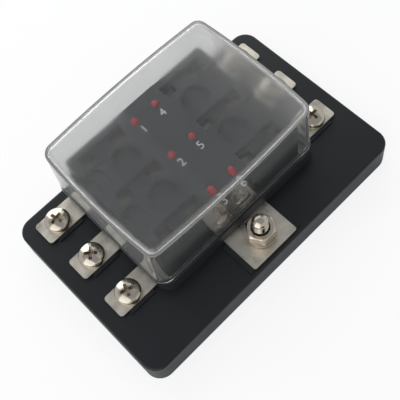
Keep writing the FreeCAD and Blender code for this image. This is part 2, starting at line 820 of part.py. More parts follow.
def make_lamp_board():
    """The circuit board under the roof, hung on the holder's pegs."""
    low_y = circuit_rows[2] + lamp_offset_y - board_margin - lamp_leg_spacing / 2
    high_y = circuit_rows[0] + board_margin
    board = block(-board_half_width, board_half_width, low_y, high_y, board_low, board_top)
    low, high = board_low - through, board_top + through
    holes = [rod(x, y, low, high, peg_radius + running_clearance) for x, y in peg_places()]
    legs = [leg for lamp in lamp_places() for leg in lamp_leg_places(*lamp)]
    holes += [rod(x, y, low, high, lamp_leg_radius + lamp_leg_clearance) for x, y in legs]
    return board.cut(holes)


def resistor_places():
    """Where the six resistors lie under the board: two rows of three between the lamps."""
    return [(i * resistor_spacing, y) for y in well_rows for i in (-1, 0, 1)]


def make_resistor(x, y):
    """A series resistor: a barrel with collared ends, lying under the board."""
    collar = resistor_length * resistor_collar
    neck = collar * resistor_taper
    waist = resistor_radius * resistor_waist
    profile = [(0, 0), (resistor_radius, 0), (resistor_radius, collar), (waist, neck),
               (waist, resistor_length - neck), (resistor_radius, resistor_length - collar),
               (resistor_radius, resistor_length), (0, resistor_length)]
    barrel = turned(profile)
    barrel.rotate(Vector(), Vector(1, 0, 0), -90)
    barrel.translate(Vector(x, y - resistor_length / 2, board_low - resistor_radius))
    return barrel


save("base_plate", make_base_plate())
save("fuse_holder", make_fuse_holder().cut(holder_screw_pilots()))
save("cover", make_cover())
save("supply_plate", make_supply_plate())
save("supply_stud", make_supply_stud())
save("flat_washer", make_flat_washer())
save("spring_washer", make_spring_washer())
save("stud_nut", make_stud_nut())
save("lamp_board", make_lamp_board())
for number, (side, y) in enumerate(circuits, 1):
    save("terminal_strip_%d" % number, make_terminal_strip(side, y))
    save("terminal_screw_%d" % number, make_terminal_screw(side, y, recess_turns[number - 1]))
    save("terminal_nut_%d" % number, make_terminal_nut(side, y))
    save("lamp_%d" % number, make_lamp(side * lamp_x, y + lamp_offset_y))
for number, side in enumerate((-1, 1), 1):
    save("plate_screw_%d" % number, make_plate_screw(side))
for number, (x, y) in enumerate(wells, 1):
    save("holder_screw_%d" % number, make_holder_screw(x, y))
for number, (x, y) in enumerate(resistor_places(), 1):
    save("resistor_%d" % number, make_resistor(x, y))
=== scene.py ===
import math

import bpy
from mathutils import Matrix, Vector


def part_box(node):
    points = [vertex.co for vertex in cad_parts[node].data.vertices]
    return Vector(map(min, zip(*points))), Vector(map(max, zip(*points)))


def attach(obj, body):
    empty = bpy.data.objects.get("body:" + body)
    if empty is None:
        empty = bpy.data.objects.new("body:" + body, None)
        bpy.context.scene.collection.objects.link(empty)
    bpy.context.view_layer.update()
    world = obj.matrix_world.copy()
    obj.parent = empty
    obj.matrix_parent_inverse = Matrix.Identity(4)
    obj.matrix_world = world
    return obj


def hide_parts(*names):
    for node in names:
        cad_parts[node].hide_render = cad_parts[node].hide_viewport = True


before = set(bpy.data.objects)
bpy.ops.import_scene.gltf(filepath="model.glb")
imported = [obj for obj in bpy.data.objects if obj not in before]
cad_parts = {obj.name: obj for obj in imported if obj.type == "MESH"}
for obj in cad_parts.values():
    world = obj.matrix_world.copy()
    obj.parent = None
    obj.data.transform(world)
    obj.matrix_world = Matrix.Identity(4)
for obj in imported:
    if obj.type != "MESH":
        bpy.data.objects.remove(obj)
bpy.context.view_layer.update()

MM = 0.001
CIRCUITS = range(1, 7)

# The base: a tray moulded in black glass-filled nylon, cored from below.
# Everything else is screwed or clipped to it. Its top is satin, with a fine
# spark-eroded texture that breaks a reflection into a soft blue-grey sheen.


def linear(hex_colour):
    """An sRGB hex colour as linear red, green, blue and alpha."""
    parts = [int(hex_colour[i:i + 2], 16) / 255 for i in (1, 3, 5)]
    curve = [c / 12.92 if c <= 0.04045 else ((c + 0.055) / 1.055) ** 2.4 for c in parts]
    return (*curve, 1.0)


def add(tree, kind, settings=(), **links):
    """Adds one node with its own settings. Links are what its sockets hold or are fed from:
    Base_Color is the socket of that name, and _0 the first one."""
    made = tree.nodes.new(kind)
    for name, value in dict(settings).items():
        setattr(made, name, value)
    for name, value in links.items():
        key = int(name[1:]) if name[1:].isdigit() else name.replace("_", " ")
        socket = made.inputs[key]
        if isinstance(value, bpy.types.NodeSocket):
            tree.links.new(value, socket)
        else:
            socket.default_value = value
    return made


def new_material(name):
    """An empty material that holds only its output node."""
    made = bpy.data.materials.new(name)
    made.use_nodes = True
    made.node_tree.nodes.clear()
    return made, made.node_tree, add(made.node_tree, "ShaderNodeOutputMaterial")


def in_mm(tree, stretch=(1, 1, 1)):
    """Object coordinates counted in millimetres, with a stretch along each axis."""
    place = add(tree, "ShaderNodeTexCoord")
    scale = tuple(s / MM for s in stretch)
    return add(tree, "ShaderNodeMapping", Vector=place.outputs["Object"], Scale=scale).outputs[0]


def dress(nodes, material):
    """Gives CAD nodes one material."""
    for name in nodes:
        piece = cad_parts[name]
        piece.data.materials.clear()
        piece.data.materials.append(material)


MOULD_FLOW_MM = 9


def moulded_nylon(name, colour, roughness, grain_mm, grain_depth_mm):
    """Black moulded nylon: uneven gloss from flow in the mould over a fine sparked grain."""
    made, tree, out = new_material(name)
    place = in_mm(tree)
    flow = add(tree, "ShaderNodeTexNoise", Vector=place, Scale=1 / MOULD_FLOW_MM, Detail=3.0)
    gloss = add(tree, "ShaderNodeMapRange", Value=flow.outputs["Fac"], To_Min=roughness - 0.05,
                To_Max=roughness + 0.07)
    grain = add(tree, "ShaderNodeTexNoise", Vector=place, Scale=1 / grain_mm, Detail=2.0)
    bump = add(tree, "ShaderNodeBump", Height=grain.outputs["Fac"], Strength=0.35,
               Distance=grain_depth_mm * MM)
    shader = add(tree, "ShaderNodeBsdfPrincipled", Base_Color=linear(colour), IOR=1.53,
                 Specular_IOR_Level=0.4, Roughness=gloss.outputs["Result"], Normal=bump.outputs["Normal"])
    tree.links.new(shader.outputs[0], out.inputs["Surface"])
    return made


base_nylon = moulded_nylon("black_satin_nylon", "#181c1f", 0.34, 0.5, 0.02)
dress(["base_plate"], base_nylon)

# The fuse holder: a separate block moulded in black nylon, with the fuse pockets,
# finger wells and the skirt that the cover snaps over. It is held from below by
# four screws. Deeper texture than the base, so it looks a little more matt.

holder_nylon = moulded_nylon("black_matt_nylon", "#2b2d2f", 0.45, 0.6, 0.03)
dress(["fuse_holder"], holder_nylon)

# The supply plate and the six load strips: brass sheet, cut, folded into spring
# clips and nickel plated. Rolling left faint lines along the strip, and handling
# left dull smears, so the plate shines softly and warmly.

ROLLED_LINE_MM = 0.45
ROLLED_STRETCH = 0.08
SMEAR_MM = 5
SMEAR_TINT = (0.74, 1.0)
NOISE_LOW, NOISE_HIGH = 0.3, 0.7  # a noise texture seldom leaves this range


def rolled_nickel(name, colour, roughness):
    """Nickel over rolled brass: a soft shine drawn out along the sheet, with dull smears."""
    made, tree, out = new_material(name)
    lines = add(tree, "ShaderNodeTexNoise", Vector=in_mm(tree, (ROLLED_STRETCH, 1, 1)),
                Scale=1 / ROLLED_LINE_MM, Detail=2.0)
    smears = add(tree, "ShaderNodeTexNoise", Vector=in_mm(tree), Scale=1 / SMEAR_MM, Detail=4.0)
    gloss = add(tree, "ShaderNodeMapRange", Value=smears.outputs["Fac"], From_Min=NOISE_LOW,
                From_Max=NOISE_HIGH, To_Min=roughness - 0.07, To_Max=roughness + 0.1)
    tint = add(tree, "ShaderNodeMapRange", Value=smears.outputs["Fac"], From_Min=0.35, From_Max=0.65,
               To_Min=SMEAR_TINT[0], To_Max=SMEAR_TINT[1])
    tone = add(tree, "ShaderNodeMix", {"data_type": "RGBA", "blend_type": "MULTIPLY"}, _0=1.0,
               _6=linear(colour), _7=tint.outputs["Result"])
    bump = add(tree, "ShaderNodeBump", Height=lines.outputs["Fac"], Strength=0.12, Distance=0.02 * MM)
    shader = add(tree, "ShaderNodeBsdfPrincipled", Base_Color=tone.outputs[2], Metallic=1.0,
                 Roughness=gloss.outputs["Result"], Normal=bump.outputs["Normal"])
    tree.links.new(shader.outputs[0], out.inputs["Surface"])
    return made


strip_nickel = rolled_nickel("nickel_plated_rolled_brass", "#ece6d7", 0.33)
SHEET_METAL = ["supply_plate"] + ["terminal_strip_%d" % i for i in CIRCUITS]
dress(SHEET_METAL, strip_nickel)

# The lamp board and its parts: a small circuit board of green lacquered glass
# epoxy laminate, hung on pegs under the roof, with a film resistor for each lamp.
# The glass weave shows faintly through the lacquer.

BOARD_WEAVE_MM = 0.6
RESISTOR_PITCH_MM = 20.12  # the resistors' spacing along Y, which places their bands
RESISTOR_TAN = "#b89b6c"
RESISTOR_BANDS = [(0.0, RESISTOR_TAN), (0.87, "#7a4a1e"), (0.895, RESISTOR_TAN), (0.93, "#1c1c1c"),
                  (0.955, RESISTOR_TAN)]

board_green, tree, out = new_material("green_lacquered_laminate")
weave = add(tree, "ShaderNodeTexChecker", Vector=in_mm(tree), Scale=1 / BOARD_WEAVE_MM,
            Color1=linear("#1d5a34"), Color2=linear("#1a5330"))
shader = add(tree, "ShaderNodeBsdfPrincipled", Base_Color=weave.outputs["Color"], Roughness=0.3,
             IOR=1.55)
tree.links.new(shader.outputs[0], out.inputs["Surface"])
dress(["lamp_board"], board_green)

resistor_tan, tree, out = new_material("tan_lacquered_ceramic")
split = add(tree, "ShaderNodeSeparateXYZ", Vector=in_mm(tree))
row = add(tree, "ShaderNodeMath", {"operation": "DIVIDE"}, _0=split.outputs["Y"], _1=RESISTOR_PITCH_MM)
share = add(tree, "ShaderNodeMath", {"operation": "FRACT"}, _0=row.outputs[0])
bands = add(tree, "ShaderNodeValToRGB", Fac=share.outputs[0])
bands.color_ramp.interpolation = "CONSTANT"
ramp = bands.color_ramp.elements
for stop, (place, colour) in enumerate(RESISTOR_BANDS):
    element = ramp[stop] if stop < 2 else ramp.new(place)
    element.position = place
    element.color = linear(colour)
shader = add(tree, "ShaderNodeBsdfPrincipled", Base_Color=bands.outputs["Color"], Roughness=0.35)
tree.links.new(shader.outputs[0], out.inputs["Surface"])
dress(["resistor_%d" % i for i in CIRCUITS], resistor_tan)

# The lamps: 3 mm indicator lamps cast in red tinted epoxy, soldered to the board
# and pushed up through the roof. The tint is deep in the middle and the dome
# carries a small soft highlight.

LAMP_CLOUD_MM = 1.4

lamp_red, tree, out = new_material("red_tinted_epoxy")
cloud = add(tree, "ShaderNodeTexNoise", Vector=in_mm(tree), Scale=1 / LAMP_CLOUD_MM, Detail=1.0)
tint = add(tree, "ShaderNodeMix", {"data_type": "RGBA"}, _0=cloud.outputs["Fac"],
           _6=linear("#a8141f"), _7=linear("#c92530"))
shader = add(tree, "ShaderNodeBsdfPrincipled", Base_Color=tint.outputs[2], Roughness=0.22, IOR=1.5,
             Subsurface_Weight=0.25, Subsurface_Scale=0.8 * MM, Subsurface_Radius=(1.0, 0.15, 0.1))
tree.links.new(shader.outputs[0], out.inputs["Surface"])
dress(["lamp_%d" % i for i in CIRCUITS], lamp_red)

# The fasteners: steel screws, nuts, washers and the supply stud, barrel plated
# with bright nickel. Smooth heads mirror the room, with tumbling marks that blur
# the reflection a little.

TUMBLE_CLOUD_MM = 2.2
TUMBLE_DING_MM = 1.2


def bright_nickel(name, colour, roughness):
    """Bright nickel on steel: a warm mirror, slightly clouded and dinged by tumbling."""
    made, tree, out = new_material(name)
    cloud = add(tree, "ShaderNodeTexNoise", Vector=in_mm(tree), Scale=1 / TUMBLE_CLOUD_MM, Detail=3.0)
    gloss = add(tree, "ShaderNodeMapRange", Value=cloud.outputs["Fac"], From_Min=NOISE_LOW,
                From_Max=NOISE_HIGH, To_Min=roughness - 0.04, To_Max=roughness + 0.06)
    dings = add(tree, "ShaderNodeTexNoise", Vector=in_mm(tree), Scale=1 / TUMBLE_DING_MM, Detail=2.0)
    bump = add(tree, "ShaderNodeBump", Height=dings.outputs["Fac"], Strength=0.1, Distance=0.04 * MM)
    shader = add(tree, "ShaderNodeBsdfPrincipled", Base_Color=linear(colour), Metallic=1.0,
                 Roughness=gloss.outputs["Result"], Normal=bump.outputs["Normal"])
    tree.links.new(shader.outputs[0], out.inputs["Surface"])
    return made


FASTENERS = ["supply_stud", "flat_washer", "spring_washer", "stud_nut"]
FASTENERS += ["terminal_screw_%d" % i for i in CIRCUITS] + ["terminal_nut_%d" % i for i in CIRCUITS]
FASTENERS += ["plate_screw_1", "plate_screw_2"] + ["holder_screw_%d" % i for i in range(1, 5)]

screw_nickel = bright_nickel("bright_nickel_on_steel", "#cfc5b6", 0.15)
dress(FASTENERS, screw_nickel)

# The six terminal screws: M5 pan heads of plated steel, cold forged with a cross
# recess, each left at its own turn. The plating down in the recess is duller, and its
# nickel is painted darker as shade, which reads as a soft dark cross on the bright dome.

HEAD_RADIUS = 5.0 * MM
HEAD_HEIGHT = 3.7 * MM
HEAD_DOME = 1.5 * MM
HEAD_SHOULDER = 1.3 * MM
HEAD_BALL = (HEAD_RADIUS ** 2 + HEAD_DOME ** 2) / (2 * HEAD_DOME)  # the dome's ball
HEAD_FOOT_INSET = 0.2 * MM
HEAD_FOOT_RISE = 0.25 * MM
HEAD_SHARP_ANGLE = math.radians(35)
SHANK_RADIUS = 2.45 * MM
RECESS_RADIUS = 2.7 * MM
RECESS_WIDTH = 1.25 * MM
RECESS_DEPTH = 2.3 * MM
RECESS_LEAD = 0.1  # the share of its depth that is straight
RECESS_FLOOR = 0.3  # the share of its radius that is left at its floor
RECESS_TURNS = [12, 48, 71, 30, 62, 5]
RECESS_SKIN = 0.05 * MM  # how far under the dome a face counts as the recess's
CUT_SPARE = 1.0 * MM
TURN_STEPS = 72
DOME_STEPS = 10
SHOULDER_STEPS = 8


def new_object(name, data):
    """An object of the scene that holds a mesh, text, lamp or camera."""
    made = bpy.data.objects.new(name, data)
    bpy.context.collection.objects.link(made)
    return made


def spun(name, profile):
    """A closed mesh turned about Z from a profile that starts and ends on the axis."""
    rings = profile[1:-1]
    points = [(0, 0, profile[0][1]), (0, 0, profile[-1][1])]
    for radius, z in rings:
        for i in range(TURN_STEPS):
            angle = 2 * math.pi * i / TURN_STEPS
            points.append((radius * math.cos(angle), radius * math.sin(angle), z))
    faces = []
    for i in range(TURN_STEPS):
        j = (i + 1) % TURN_STEPS
        last = 2 + (len(rings) - 1) * TURN_STEPS
        faces += [(0, 2 + i, 2 + j), (1, last + j, last + i)]
        for level in range(len(rings) - 1):
            first = 2 + level * TURN_STEPS
            faces.append((first + i, first + TURN_STEPS + i, first + TURN_STEPS + j, first + j))
    mesh = bpy.data.meshes.new(name)
    mesh.from_pydata(points, [], faces)
    return mesh


def pan_head_profile(length):
    """From the middle of the dome over the shoulder and down the shank, all from the seat."""
    ball_z = HEAD_HEIGHT - HEAD_BALL
    inset = HEAD_RADIUS - HEAD_SHOULDER
    start = math.asin(inset / (HEAD_BALL - HEAD_SHOULDER))
    shoulder_z = ball_z + (HEAD_BALL - HEAD_SHOULDER) * math.cos(start)
    dome_turns = [start * i / DOME_STEPS for i in range(DOME_STEPS + 1)]
    dome = [(HEAD_BALL * math.sin(a), ball_z + HEAD_BALL * math.cos(a)) for a in dome_turns]
    turns = [start + (math.pi / 2 - start) * i / SHOULDER_STEPS for i in range(1, SHOULDER_STEPS + 1)]
    shoulder = [(inset + HEAD_SHOULDER * math.sin(a), shoulder_z + HEAD_SHOULDER * math.cos(a))
                for a in turns]
    foot = [(HEAD_RADIUS, HEAD_FOOT_RISE), (HEAD_RADIUS - HEAD_FOOT_INSET, 0), (SHANK_RADIUS, 0),
            (SHANK_RADIUS, -length), (0, -length)]
    return dome + shoulder + foot


def cross_wing(turn):
    """One wing of the tapered cross recess, as the form to cut away."""
    top, floor = HEAD_HEIGHT + CUT_SPARE, HEAD_HEIGHT - RECESS_DEPTH
    lead, foot = HEAD_HEIGHT - RECESS_LEAD * RECESS_DEPTH, RECESS_FLOOR * RECESS_RADIUS
    outline = [(-RECESS_RADIUS, top), (-RECESS_RADIUS, lead), (-foot, floor),
               (foot, floor), (RECESS_RADIUS, lead), (RECESS_RADIUS, top)]
    points = [(x, y, z) for y in (-RECESS_WIDTH / 2, RECESS_WIDTH / 2) for x, z in outline]
    faces = [tuple(range(6)), tuple(range(6, 12))[::-1]]
    faces += [(i, i + 6, (i + 1) % 6 + 6, (i + 1) % 6) for i in range(6)]
    mesh = bpy.data.meshes.new("cross_wing")
    mesh.from_pydata(points, [], faces)
    mesh.transform(Matrix.Rotation(math.radians(turn), 4, "Z"))
    return new_object("cross_wing", mesh)


def evaluated_mesh(piece):
    """The mesh that an object's modifiers make."""
    return bpy.data.meshes.new_from_object(piece.evaluated_get(bpy.context.evaluated_depsgraph_get()))


def boolean(body, tool, operation):
    """A body with a tool cut away, joined on or met. The tool is used up."""
    cut = body.modifiers.new("cut", "BOOLEAN")
    cut.operation = operation
    cut.object = tool
    made = evaluated_mesh(body)
    body.modifiers.remove(cut)
    bpy.data.objects.remove(tool)
    body.data = made
    return body


# Painted shade: the recess faces get a darker nickel colour as well as a rougher finish.
recess_nickel_painted_shade = bright_nickel("dull_nickel_with_painted_shade", "#b5aa98", 0.36)

for circuit, turn in zip(CIRCUITS, RECESS_TURNS):
    low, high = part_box("terminal_screw_%d" % circuit)
    seat = high.z - HEAD_HEIGHT
    form = spun("pan_head_screw", pan_head_profile(seat - low.z))
    screw = new_object("pan_head_screw_%d" % circuit, form)
    for wing in (turn, turn + 90):
        screw = boolean(screw, cross_wing(wing), "DIFFERENCE")
    screw.data.materials.clear()
    screw.data.materials.append(screw_nickel)
    screw.data.materials.append(recess_nickel_painted_shade)
    for face in screw.data.polygons:
        reach = math.hypot(face.center.x, face.center.y)
        dome_height = HEAD_HEIGHT - HEAD_BALL + math.sqrt(HEAD_BALL ** 2 - reach ** 2)
        sunk = reach < RECESS_RADIUS + RECESS_SKIN and 0 < face.center.z < dome_height - RECESS_SKIN
        face.material_index = 1 if sunk else 0
    screw.data.transform(Matrix.Translation(((low.x + high.x) / 2, (low.y + high.y) / 2, seat)))
    screw.data.shade_smooth()
    screw.data.set_sharp_from_angle(angle=HEAD_SHARP_ANGLE)
    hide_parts("terminal_screw_%d" % circuit)
    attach(screw, "terminal_screw_%d" % circuit)

# The supply stud: an M6 bolt of plated steel, hexagon headed, pushed up through the
# base from below. Its thread is rolled over the whole shank up to a rounded end.

STUD_RADIUS = 3.0 * MM
STUD_DOME = 1.4 * MM
STUD_HEAD_HEIGHT = 4.0 * MM
THREAD_PITCH = 1.0 * MM
THREAD_DEPTH = 0.45 * MM
THREAD_WELD = 0.002 * MM
ROWS_PER_TURN = 12
AROUND = 64
STUD_SHARP_ANGLE = math.radians(50)


def thread_tree():
    """Geometry Nodes that wrap a flat grid round into a rod with a thread and a ball end."""
    tree = bpy.data.node_groups.new("rolled_thread", "GeometryNodeTree")
    tree.interface.new_socket("Geometry", in_out="INPUT", socket_type="NodeSocketGeometry")
    sockets = {}
    kinds = {"Radius": "Float", "Depth": "Float", "Pitch": "Float", "Length": "Float", "Dome": "Float",
             "Around": "Int", "Rows": "Int", "Material": "Material"}
    for name, held in kinds.items():
        made = tree.interface.new_socket(name, in_out="INPUT", socket_type="NodeSocket" + held)
        sockets[name] = made.identifier
    tree.interface.new_socket("Geometry", in_out="OUTPUT", socket_type="NodeSocketGeometry")
    given = add(tree, "NodeGroupInput").outputs
    sum_of, times = {"operation": "ADD"}, {"operation": "MULTIPLY"}
    less, over = {"operation": "SUBTRACT"}, {"operation": "DIVIDE"}
    kind = "ShaderNodeMath"

    # Each point of the grid has its turn round the rod and its height along it.
    grid = add(tree, "GeometryNodeMeshGrid", Size_X=1.0, Size_Y=1.0, Vertices_X=given["Around"],
               Vertices_Y=given["Rows"])
    place = add(tree, "ShaderNodeSeparateXYZ", Vector=add(tree, "GeometryNodeInputPosition").outputs[0])
    share = add(tree, kind, sum_of, _0=place.outputs["X"], _1=0.5)
    up = add(tree, kind, sum_of, _0=place.outputs["Y"], _1=0.5)
    angle = add(tree, kind, times, _0=share.outputs[0], _1=2 * math.pi)
    rise = add(tree, kind, times, _0=up.outputs[0], _1=given["Length"])

    # The groove there, cut to its depth and fading out below the ball end.
    turns = add(tree, kind, over, _0=rise.outputs[0], _1=given["Pitch"])
    turns = add(tree, kind, less, _0=turns.outputs[0], _1=share.outputs[0])
    groove = add(tree, kind, {"operation": "PINGPONG"}, _0=turns.outputs[0], _1=0.5)
    below_tip = add(tree, kind, less, _0=given["Length"], _1=rise.outputs[0])
    full_from = add(tree, kind, sum_of, _0=given["Dome"], _1=given["Pitch"])
    run_out = add(tree, "ShaderNodeMapRange", Value=below_tip.outputs[0], From_Min=given["Dome"],
                  From_Max=full_from.outputs[0], To_Max=2.0)
    cut = add(tree, kind, times, _0=groove.outputs[0], _1=given["Depth"])
    cut = add(tree, kind, times, _0=cut.outputs[0], _1=run_out.outputs["Result"])
    threaded = add(tree, kind, less, _0=given["Radius"], _1=cut.outputs[0])

    # The ball's width there. The rod is as wide as the narrower of the two.
    square = add(tree, kind, times, _0=given["Radius"], _1=given["Radius"])
    width = add(tree, kind, over, _0=square.outputs[0], _1=given["Dome"])
    width = add(tree, kind, sum_of, _0=width.outputs[0], _1=given["Dome"])
    rest = add(tree, kind, less, _0=width.outputs[0], _1=below_tip.outputs[0])
    chord = add(tree, kind, times, _0=below_tip.outputs[0], _1=rest.outputs[0])
    ball = add(tree, kind, {"operation": "SQRT"}, _0=chord.outputs[0])
    radius = add(tree, kind, {"operation": "MINIMUM"}, _0=threaded.outputs[0], _1=ball.outputs[0])

    # Each point goes to its place, and the seam and the tip are welded.
    east = add(tree, kind, {"operation": "COSINE"}, _0=angle.outputs[0])
    north = add(tree, kind, {"operation": "SINE"}, _0=angle.outputs[0])
    x = add(tree, kind, times, _0=radius.outputs[0], _1=east.outputs[0])
    y = add(tree, kind, times, _0=radius.outputs[0], _1=north.outputs[0])
    spot = add(tree, "ShaderNodeCombineXYZ", X=x.outputs[0], Y=y.outputs[0], Z=rise.outputs[0])
    wrapped = add(tree, "GeometryNodeSetPosition", Geometry=grid.outputs["Mesh"],
                  Position=spot.outputs[0])
    closed = add(tree, "GeometryNodeMergeByDistance", Geometry=wrapped.outputs[0], Distance=THREAD_WELD)
    real = add(tree, "GeometryNodeRealizeInstances", Geometry=closed.outputs[0])
    painted = add(tree, "GeometryNodeSetMaterial", Geometry=real.outputs[0], Material=given["Material"])
    add(tree, "NodeGroupOutput", Geometry=painted.outputs[0])
    return tree, sockets


def prism(name, corners, low, high):
    """A closed mesh that stands on a flat outline of corners."""
    count = len(corners)
    points = [(c.x, c.y, z) for z in (low, high) for c in corners]
    faces = [tuple(range(count))[::-1], tuple(range(count, 2 * count))]
    faces += [(i, (i + 1) % count, (i + 1) % count + count, i + count) for i in range(count)]
    mesh = bpy.data.meshes.new(name)
    mesh.from_pydata(points, [], faces)
    return mesh


def merged(name, meshes):
    """One mesh that holds several."""
    points, faces = [], []
    for mesh in meshes:
        first = len(points)
        points += [tuple(v.co) for v in mesh.vertices]
        faces += [[first + i for i in face.vertices] for face in mesh.polygons]
    made = bpy.data.meshes.new(name)
    made.from_pydata(points, [], faces)
    return made


stud_low, stud_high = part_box("supply_stud")
head_top = stud_low.z + STUD_HEAD_HEIGHT
length = stud_high.z - head_top
tree, sockets = thread_tree()
shank = new_object("stud_shank", bpy.data.meshes.new("stud_shank"))
maker = shank.modifiers.new("thread", "NODES")
maker.node_group = tree
rows = int(length / THREAD_PITCH * ROWS_PER_TURN)
stud_sizes = {"Radius": STUD_RADIUS, "Depth": THREAD_DEPTH, "Pitch": THREAD_PITCH, "Length": length,
              "Dome": STUD_DOME, "Around": AROUND, "Rows": rows, "Material": screw_nickel}
for name, value in stud_sizes.items():
    maker[sockets[name]] = value
thread = evaluated_mesh(shank)
bpy.data.objects.remove(shank)
middle = (stud_low + stud_high) / 2
reach = (stud_high.x - stud_low.x) / 2
turns = [math.radians(angle) for angle in range(0, 360, 60)]
hexagon = [Vector((math.cos(turn), math.sin(turn), 0)) for turn in turns]
head = prism("stud_head", [corner * reach for corner in hexagon], -STUD_HEAD_HEIGHT, 0)
stud_mesh = merged("threaded_stud", [head, thread])
stud_mesh.transform(Matrix.Translation((middle.x, middle.y, head_top)))
stud_mesh.materials.append(screw_nickel)
stud_mesh.shade_smooth()
stud_mesh.set_sharp_from_angle(angle=STUD_SHARP_ANGLE)
stud = new_object("threaded_stud", stud_mesh)
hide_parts("supply_stud")
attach(stud, "base")

# The stud's nut: an M6 hexagon nut of plated steel, chamfered at both ends, with
# its threaded hole opened out at the mouth. It clamps the cable's ring terminal
# and turns down on the washers.

NUT_HALF_FLATS = 5.0 * MM
NUT_CORNER = 5.97 * MM
NUT_CHAMFER = 4.85 * MM
NUT_CHAMFER_RISE = 0.65 * MM
NUT_BORE = 3.05 * MM
NUT_MOUTH = 3.6 * MM
NUT_MOUTH_DEPTH = 0.9 * MM
NUT_SHARP_ANGLE = math.radians(25)

nut_low, nut_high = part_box("stud_nut")
middle = (nut_low + nut_high) / 2
tall = nut_high.z - nut_low.z
above, below = tall + CUT_SPARE, -CUT_SPARE
reach = NUT_HALF_FLATS / math.cos(math.pi / len(hexagon))
body = prism("hexagon_nut", [corner * reach for corner in hexagon], 0, tall)
nut = new_object("hexagon_nut", body)
chamfers = spun("nut_chamfers", [(0, tall), (NUT_CHAMFER, tall), (NUT_CORNER, tall - NUT_CHAMFER_RISE),
                                 (NUT_CORNER, NUT_CHAMFER_RISE), (NUT_CHAMFER, 0), (0, 0)])
nut = boolean(nut, new_object("nut_chamfers", chamfers), "INTERSECT")
bore = spun("nut_bore", [(0, above), (NUT_MOUTH, above), (NUT_MOUTH, tall - NUT_MOUTH_DEPTH / 3),
                         (NUT_BORE, tall - NUT_MOUTH_DEPTH), (NUT_BORE, below), (0, below)])
nut = boolean(nut, new_object("nut_bore", bore), "DIFFERENCE")
nut.data.transform(Matrix.Translation((middle.x, middle.y, nut_low.z)))
nut.data.shade_smooth()
nut.data.set_sharp_from_angle(angle=NUT_SHARP_ANGLE)
nut.data.materials.clear()
nut.data.materials.append(screw_nickel)
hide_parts("stud_nut")
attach(nut, "stud_nut")

# The circuit numbers: white ink printed on the holder's middle band, one beside
# each lamp, read with the supply stud at the foot. The pad print is thin and a
# little uneven, so the black shows through it in places.

NUMBER_HEIGHT = 3.4 * MM
DIGIT_SHARE = 0.7
INK_WEAR_MM = 0.5
NUMBER_FILM = 0.03 * MM
NUMBER_FROM_LAMP = 4.85 * MM
NUMBER_IN_FROM_LAMP = 0.4 * MM

white_ink, tree, out = new_material("white_pad_print")
wear = add(tree, "ShaderNodeTexNoise", Vector=in_mm(tree), Scale=1 / INK_WEAR_MM, Detail=2.0)
tone = add(tree, "ShaderNodeMapRange", Value=wear.outputs["Fac"], From_Min=0.35, From_Max=0.6)
ink = add(tree, "ShaderNodeMix", {"data_type": "RGBA"}, _0=tone.outputs["Result"],
          _6=linear("#cfd2d2"), _7=linear("#ffffff"))
shader = add(tree, "ShaderNodeBsdfPrincipled", Base_Color=ink.outputs[2], Roughness=0.6)
tree.links.new(shader.outputs[0], out.inputs["Surface"])

holder_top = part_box("fuse_holder")[1].z
numbers = []
for circuit in CIRCUITS:
    low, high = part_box("lamp_%d" % circuit)
    lamp = (low + high) / 2
    side = 1 if lamp.x > 0 else -1
    text = bpy.data.curves.new("number_%d" % circuit, "FONT")
    text.body = str(circuit)
    text.size = NUMBER_HEIGHT / DIGIT_SHARE
    text.align_x = "CENTER"
    text.align_y = "CENTER"
    text.extrude = NUMBER_FILM
    letter = new_object("number_%d" % circuit, text)
    bpy.context.view_layer.update()
    mesh = bpy.data.meshes.new_from_object(letter)
    bpy.data.objects.remove(letter)
    place = Vector((lamp.x - side * NUMBER_IN_FROM_LAMP, lamp.y - NUMBER_FROM_LAMP,
                    holder_top + NUMBER_FILM))
    mesh.transform(Matrix.Translation(place))
    numbers.append(mesh)

number_print = new_object("circuit_numbers", merged("circuit_numbers", numbers))
number_print.data.materials.append(white_ink)
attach(number_print, "base")

# The cover: one thin shell moulded in clear polycarbonate, snapped over the
# skirt. Its walls are clear and bow outward a little. Its roof is frosted by the
# mould, and both meet in a soft round edge, with painted shade where it is steep.

# Its bead's outline and levels, its wall and roof, how far the walls lean and bow,
# and the radii of its upright corners and of its top edge.
COVER_MM = {"half_x": 39.95, "low_y": -21.0, "high_y": 39.5, "rim": 19.45, "top": 47.25, "wall": 1.6,
            "roof": 1.8, "draft": 0.7, "bow": 1.29, "corner": 5.4, "edge": 3.2, "bead": 0.45,
            "bead_height": 1.1, "lip_depth": 2.4}
RIM_BOW = 0.02
LIP_OUT_MM = {"half_x": 37.35, "low_y": -19.95, "high_y": 37.25, "corner": 3.65}
LIP_IN_MM = {"half_x": 36.45, "low_y": -19.05, "high_y": 36.35, "corner": 2.75}
SIDE_STEPS = 28
CORNER_STEPS = 14
EDGE_STEPS = 10
WALL_STEPS = (0.02, 0.25, 0.5, 0.75, 0.98)
SEAT_CLEARANCE = 0.05
SOFT_RIM = 0.2
SOFT_RIM_MIDDLE = 0.06
COVER_SHARP_ANGLE = math.radians(30)


